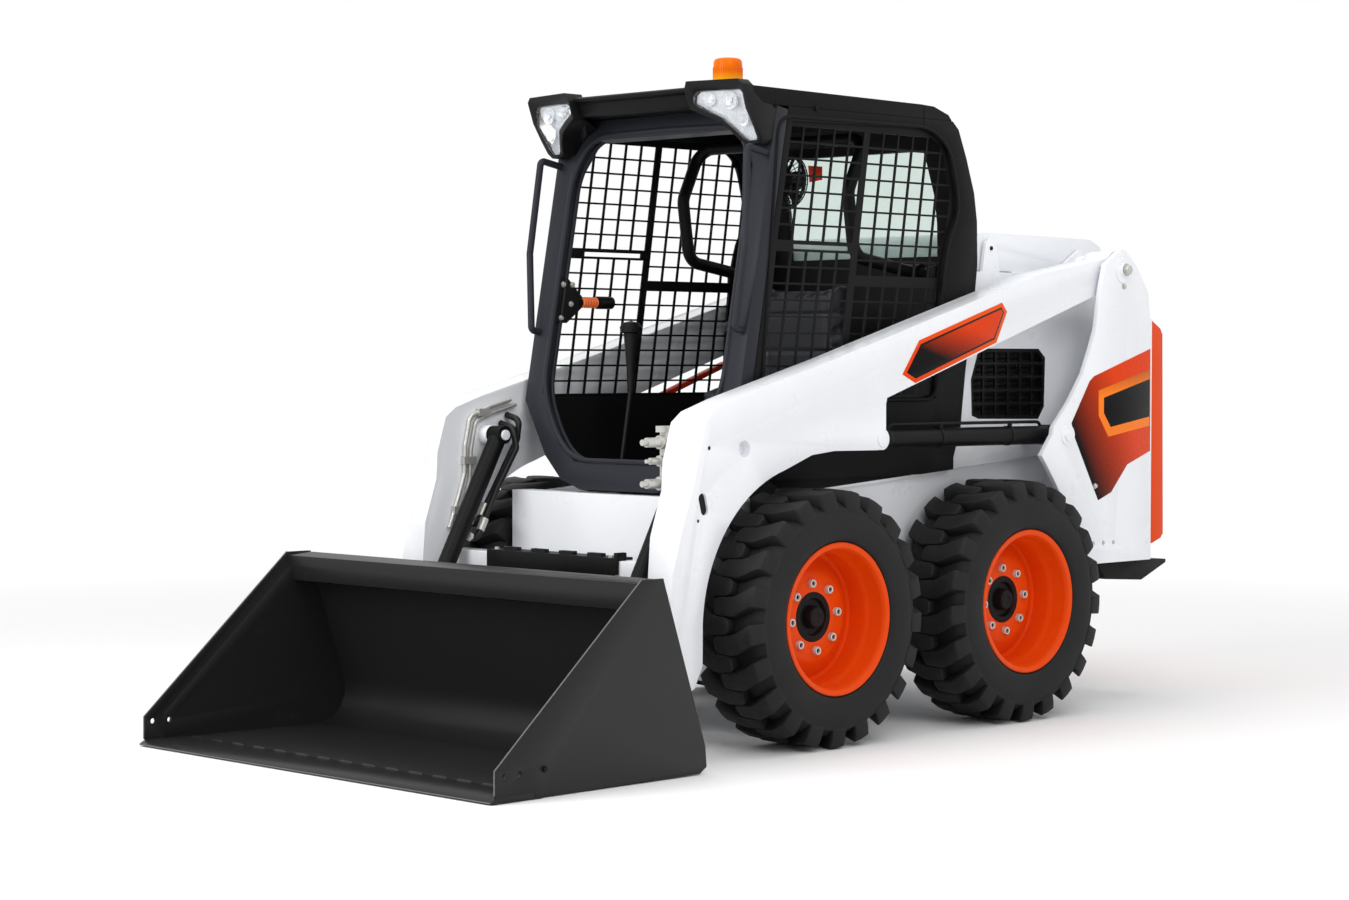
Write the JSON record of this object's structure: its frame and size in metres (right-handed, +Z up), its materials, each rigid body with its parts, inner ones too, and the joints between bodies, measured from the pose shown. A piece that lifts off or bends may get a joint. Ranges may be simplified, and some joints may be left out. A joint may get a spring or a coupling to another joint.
{
  "type": "skid steer loader with bucket",
  "caption": "Compact wheeled loader with an open-front cab, two lift arms and a dirt bucket; wheels, arms, bucket, tailgate, engine lid and seat bar move.",
  "frame": {"origin": "on the ground at the middle of the overall length and width, wheels on z = 0", "axes": "+X forward out of the bucket, +Y to the operator's left, +Z up"},
  "size_m": [3.262, 1.586, 2.0625],
  "materials": {
    "white_paint": "gloss paint",
    "charcoal_paint": "satin paint",
    "black_paint": "satin paint",
    "bucket_paint": "satin paint",
    "orange_paint": "gloss paint",
    "engine_iron": "painted casting",
    "tyre_rubber": "matte rubber",
    "chrome_rod": "ground chrome",
    "zinc_steel": "zinc plated",
    "black_plastic": "moulded",
    "amber_plastic": "clear moulded",
    "seat_cover": "vinyl",
    "clear_lens": "clear moulded",
    "red_lens": "clear moulded",
    "hose_rubber": "matte hose",
    "tinted_glass": "tinted"
  },
  "bodies": {
    "chassis": {"main_frame": "white_paint", "axle_hubs": "black_paint", "cab_floor": "black_paint", "engine_block": "engine_iron", "rear_bumper": "black_paint", "upright_left": "white_paint", "upright_right": "white_paint", "side_grilles": "black_paint", "cab_side_left": "charcoal_paint", "cab_side_right": "charcoal_paint", "side_screens": "black_paint", "cab_front": "charcoal_paint", "cab_roof": "charcoal_paint", "cab_rear": "charcoal_paint", "rear_window": "tinted_glass", "seat_cushion": "seat_cover", "seat_back": "seat_cover", "control_levers": "black_plastic", "grab_handles": "charcoal_paint", "work_lights": "black_plastic", "light_lenses": "clear_lens", "post_latch": "black_plastic", "cab_fan": "black_plastic", "beacon": "amber_plastic"},
    "lift_arms": {"lift_arm_left": "white_paint", "lift_arm_right": "white_paint", "cross_tube": "white_paint", "arm_step": "black_paint", "arm_hydraulics": "zinc_steel"},
    "bucket": {"bucket_shell": "bucket_paint", "cutting_edge": "bucket_paint", "mount_frame": "bucket_paint"},
    "engine_lid": {"engine_cover": "white_paint"},
    "tailgate_door": {"tailgate": "orange_paint", "tail_lamps": "red_lens"},
    "seat_bar_body": {"seat_bar": "black_paint"},
    "wheel_front_left": {"tyre_front_left": "tyre_rubber", "rim_front_left": "orange_paint", "hub_front_left": "black_paint"},
    "wheel_front_right": {"tyre_front_right": "tyre_rubber", "rim_front_right": "orange_paint", "hub_front_right": "black_paint"},
    "wheel_rear_left": {"tyre_rear_left": "tyre_rubber", "rim_rear_left": "orange_paint", "hub_rear_left": "black_paint"},
    "wheel_rear_right": {"tyre_rear_right": "tyre_rubber", "rim_rear_right": "orange_paint", "hub_rear_right": "black_paint"},
    "lift_barrel_body_left": {"lift_barrel_left": "black_paint"},
    "lift_rod_body_left": {"lift_rod_left": "chrome_rod"},
    "tilt_barrel_body_left": {"tilt_barrel_left": "black_paint", "tilt_hose_left": "hose_rubber"},
    "tilt_rod_body_left": {"tilt_rod_left": "chrome_rod"},
    "lift_barrel_body_right": {"lift_barrel_right": "black_paint"},
    "lift_rod_body_right": {"lift_rod_right": "chrome_rod"},
    "tilt_barrel_body_right": {"tilt_barrel_right": "black_paint", "tilt_hose_right": "hose_rubber"},
    "tilt_rod_body_right": {"tilt_rod_right": "chrome_rod"}
  },
  "joints": [
    {"name": "wheel_front_left_roll", "type": "hinge", "parent": "chassis", "child": "wheel_front_left", "pos_m": [0.192, 0.59, 0.386], "axis": [0, 1, 0], "continuous": true},
    {"name": "wheel_front_right_roll", "type": "hinge", "parent": "chassis", "child": "wheel_front_right", "pos_m": [0.192, -0.59, 0.386], "axis": [0, 1, 0], "continuous": true},
    {"name": "wheel_rear_left_roll", "type": "hinge", "parent": "chassis", "child": "wheel_rear_left", "pos_m": [-0.71, 0.59, 0.386], "axis": [0, 1, 0], "continuous": true},
    {"name": "wheel_rear_right_roll", "type": "hinge", "parent": "chassis", "child": "wheel_rear_right", "pos_m": [-0.71, -0.59, 0.386], "axis": [0, 1, 0], "continuous": true},
    {"name": "lift", "type": "hinge", "parent": "chassis", "child": "lift_arms", "pos_m": [-1.315, 0, 1.453], "axis": [0, -1, 0], "range_deg": [0, 64]},
    {"name": "bucket_tilt", "type": "hinge", "parent": "lift_arms", "child": "bucket", "pos_m": [0.781, 0, 0.215], "axis": [0, -1, 0], "range_deg": [-106, 28]},
    {"name": "lift_barrel_left_swing", "type": "hinge", "parent": "chassis", "child": "lift_barrel_body_left", "pos_m": [-1.014, 0.55, 0.907], "axis": [0, -1, 0], "range_deg": [-0.5, 63.5]},
    {"name": "lift_rod_left_slide", "type": "slide", "parent": "lift_barrel_body_left", "child": "lift_rod_body_left", "axis": [1, 0, 0.0034], "range_m": [-0.002, 0.665]},
    {"name": "tilt_barrel_left_swing", "type": "hinge", "parent": "lift_arms", "child": "tilt_barrel_body_left", "pos_m": [0.526, 0.43, 0.915], "axis": [0, -1, 0], "range_deg": [-1, 3]},
    {"name": "tilt_rod_left_slide", "type": "slide", "parent": "tilt_barrel_body_left", "child": "tilt_rod_body_left", "axis": [0.4794, 0, -0.8776], "range_m": [-0.0705, 0.264]},
    {"name": "lift_barrel_right_swing", "type": "hinge", "parent": "chassis", "child": "lift_barrel_body_right", "pos_m": [-1.014, -0.55, 0.907], "axis": [0, -1, 0], "range_deg": [-0.5, 63.5]},
    {"name": "lift_rod_right_slide", "type": "slide", "parent": "lift_barrel_body_right", "child": "lift_rod_body_right", "axis": [1, 0, 0.0034], "range_m": [-0.002, 0.665]},
    {"name": "tilt_barrel_right_swing", "type": "hinge", "parent": "lift_arms", "child": "tilt_barrel_body_right", "pos_m": [0.526, -0.43, 0.915], "axis": [0, -1, 0], "range_deg": [-1, 3]},
    {"name": "tilt_rod_right_slide", "type": "slide", "parent": "tilt_barrel_body_right", "child": "tilt_rod_body_right", "axis": [0.4794, 0, -0.8776], "range_m": [-0.0705, 0.264]},
    {"name": "tailgate_swing", "type": "hinge", "parent": "chassis", "child": "tailgate_door", "pos_m": [-1.491, -0.612, 0], "axis": [0, 0, 1], "range_deg": [0, 100]},
    {"name": "engine_lid_swing", "type": "hinge", "parent": "chassis", "child": "engine_lid", "pos_m": [-0.834, 0, 1.517], "axis": [0, 1, 0], "range_deg": [0, 50]},
    {"name": "seat_bar_swing", "type": "hinge", "parent": "chassis", "child": "seat_bar_body", "pos_m": [-0.559, 0, 1.43], "axis": [0, 1, 0], "range_deg": [0, 95]}
  ],
  "couplings": [
    {"joint": "lift_barrel_left_swing", "follows": "lift", "ratio": 0.978},
    {"joint": "lift_rod_left_slide", "follows": "lift", "m_per_rad": 0.591},
    {"joint": "tilt_barrel_left_swing", "follows": "bucket_tilt", "ratio": -0.02},
    {"joint": "tilt_rod_left_slide", "follows": "bucket_tilt", "m_per_rad": -0.142},
    {"joint": "lift_barrel_right_swing", "follows": "lift", "ratio": 0.978},
    {"joint": "lift_rod_right_slide", "follows": "lift", "m_per_rad": 0.591},
    {"joint": "tilt_barrel_right_swing", "follows": "bucket_tilt", "ratio": -0.02},
    {"joint": "tilt_rod_right_slide", "follows": "bucket_tilt", "m_per_rad": -0.142}
  ]
}
